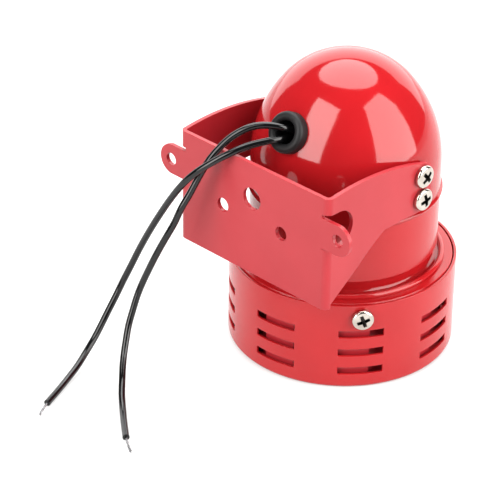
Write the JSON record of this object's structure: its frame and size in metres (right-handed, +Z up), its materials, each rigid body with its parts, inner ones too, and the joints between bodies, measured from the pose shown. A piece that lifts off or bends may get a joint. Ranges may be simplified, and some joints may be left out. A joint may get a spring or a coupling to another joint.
{
  "type": "motor siren",
  "caption": "Small red motor siren: slotted drum, domed motor housing, U-shaped wall bracket with ears, rubber grommet and two bare-ended wires.",
  "frame": {"origin": "centre of the drum's flat bottom face, on the motor's axis", "axes": "+Z up along the motor's axis, +Y towards the wall that the bracket is fixed to, +X along the wall plate"},
  "size_m": [0.0912, 0.1559, 0.108],
  "materials": {
    "red_paint": "gloss enamel",
    "bracket_paint": "gloss enamel",
    "stator_paint": "semi-gloss enamel",
    "screw_plating": "bright nickel plate",
    "zinc_plate": "zinc plate",
    "grommet_rubber": "moulded, slight sheen",
    "wire_sleeve": "soft extruded sleeve",
    "tinned_copper": "tinned strands",
    "can_steel": "zinc plated deep-drawn steel",
    "ferrite": "sintered, matt",
    "bell_plastic": "moulded",
    "brush_carbon": "pressed carbon",
    "spring_steel": "drawn wire",
    "terminal_brass": "stamped",
    "bearing_bronze": "sintered",
    "shaft_steel": "ground",
    "core_steel": "stacked laminations",
    "coil_copper": "enamelled wire",
    "commutator_copper": "turned",
    "impeller_paint": "semi-gloss enamel"
  },
  "bodies": {
    "housing": {"slotted_cover": "red_paint", "cover_screws": "screw_plating", "stator_ring": "stator_paint", "housing_base": "red_paint", "body_tube": "red_paint", "dome_cap": "red_paint", "bracket": "bracket_paint", "bracket_screws": "screw_plating", "bracket_nuts": "zinc_plate", "grommet": "grommet_rubber", "wire_a": "wire_sleeve", "wire_b": "wire_sleeve", "wire_a_strands": "tinned_copper", "wire_b_strands": "tinned_copper", "motor_can": "can_steel", "magnets": "ferrite", "end_bell": "bell_plastic", "brushes": "brush_carbon", "brush_springs": "spring_steel", "terminals": "terminal_brass", "front_bearing": "bearing_bronze", "rear_bearing": "bearing_bronze", "motor_screws": "zinc_plate"},
    "rotor": {"motor_shaft": "shaft_steel", "armature_core": "core_steel", "armature_coils": "coil_copper", "commutator": "commutator_copper", "impeller": "impeller_paint", "impeller_washer": "zinc_plate", "impeller_nut": "zinc_plate"}
  },
  "joints": [
    {"name": "rotor_spin", "type": "hinge", "parent": "housing", "child": "rotor", "pos_m": [0, 0, 0.04], "axis": [0, 0, 1], "continuous": true}
  ]
}
